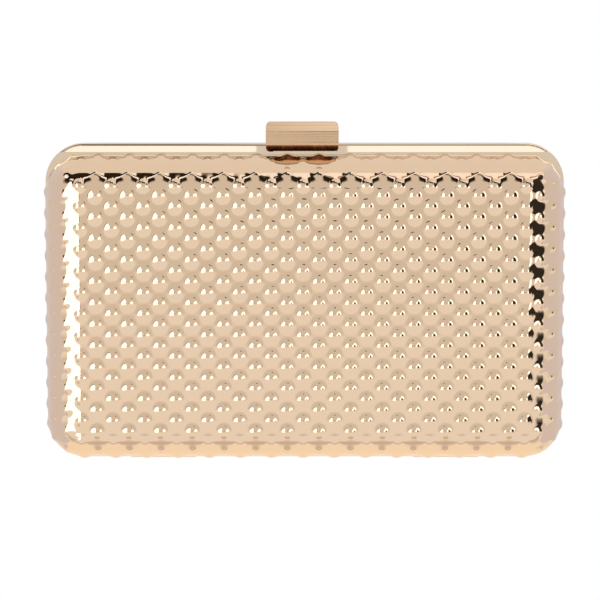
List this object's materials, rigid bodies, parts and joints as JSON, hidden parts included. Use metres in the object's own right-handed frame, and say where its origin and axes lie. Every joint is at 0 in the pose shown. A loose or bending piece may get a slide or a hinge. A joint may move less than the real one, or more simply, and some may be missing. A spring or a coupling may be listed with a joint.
{
  "type": "hard box clutch bag",
  "caption": "Rigid rectangular evening clutch: embossed metal half shells in polished frames, hinged along one long edge, with a sprung tilting bar clasp.",
  "frame": {"origin": "centre of the rear face, which the closed bag rests on", "axes": "+X along the width, +Y from the hinge edge to the clasp edge, +Z out of the front face"},
  "size_m": [0.1904, 0.1235, 0.046],
  "materials": {
    "rose_gold_shell": "polished, rose-gold plated, embossed",
    "polished_frame": "polished, rose-gold plated",
    "brushed_clasp": "fine brushed, rose-gold plated",
    "hinge_metal": "satin",
    "pin_steel": "bright",
    "spring_steel": "drawn wire",
    "card_board": "matt",
    "wadding": "soft wadding",
    "satin_lining": "satin"
  },
  "bodies": {
    "rear_half": {"rear_shell": "rose_gold_shell", "rear_frame": "polished_frame", "rear_board": "card_board", "rear_padding": "wadding", "rear_lining": "satin_lining", "rear_pocket": "satin_lining", "hinge_rear_leaf_left": "hinge_metal", "hinge_rear_leaf_right": "hinge_metal", "hinge_pin_left": "pin_steel", "hinge_pin_right": "pin_steel", "rear_hinge_rivets": "hinge_metal", "clasp_saddle": "polished_frame", "clasp_saddle_rivets": "hinge_metal", "clasp_pin": "pin_steel", "clasp_spring": "spring_steel"},
    "front_half": {"front_shell": "rose_gold_shell", "front_frame": "polished_frame", "front_board": "card_board", "front_padding": "wadding", "front_lining": "satin_lining", "hinge_front_leaf_left": "hinge_metal", "hinge_front_leaf_right": "hinge_metal", "front_hinge_rivets": "hinge_metal", "clasp_strike": "polished_frame", "clasp_strike_rivets": "hinge_metal"},
    "clasp_lever": {"clasp_bar": "brushed_clasp"}
  },
  "joints": [
    {"name": "lid_open", "type": "hinge", "parent": "rear_half", "child": "front_half", "pos_m": [0, -0.0553, 0.023], "axis": [1, 0, 0], "range_deg": [0, 105]},
    {"name": "clasp_tilt", "type": "hinge", "parent": "rear_half", "child": "clasp_lever", "pos_m": [0, 0.0624, 0.02], "axis": [-1, 0, 0], "range_deg": [0, 30], "stiffness_Nm_per_rad": 0.03, "springref_deg": -20.05, "deforming": ["clasp_spring"]}
  ]
}
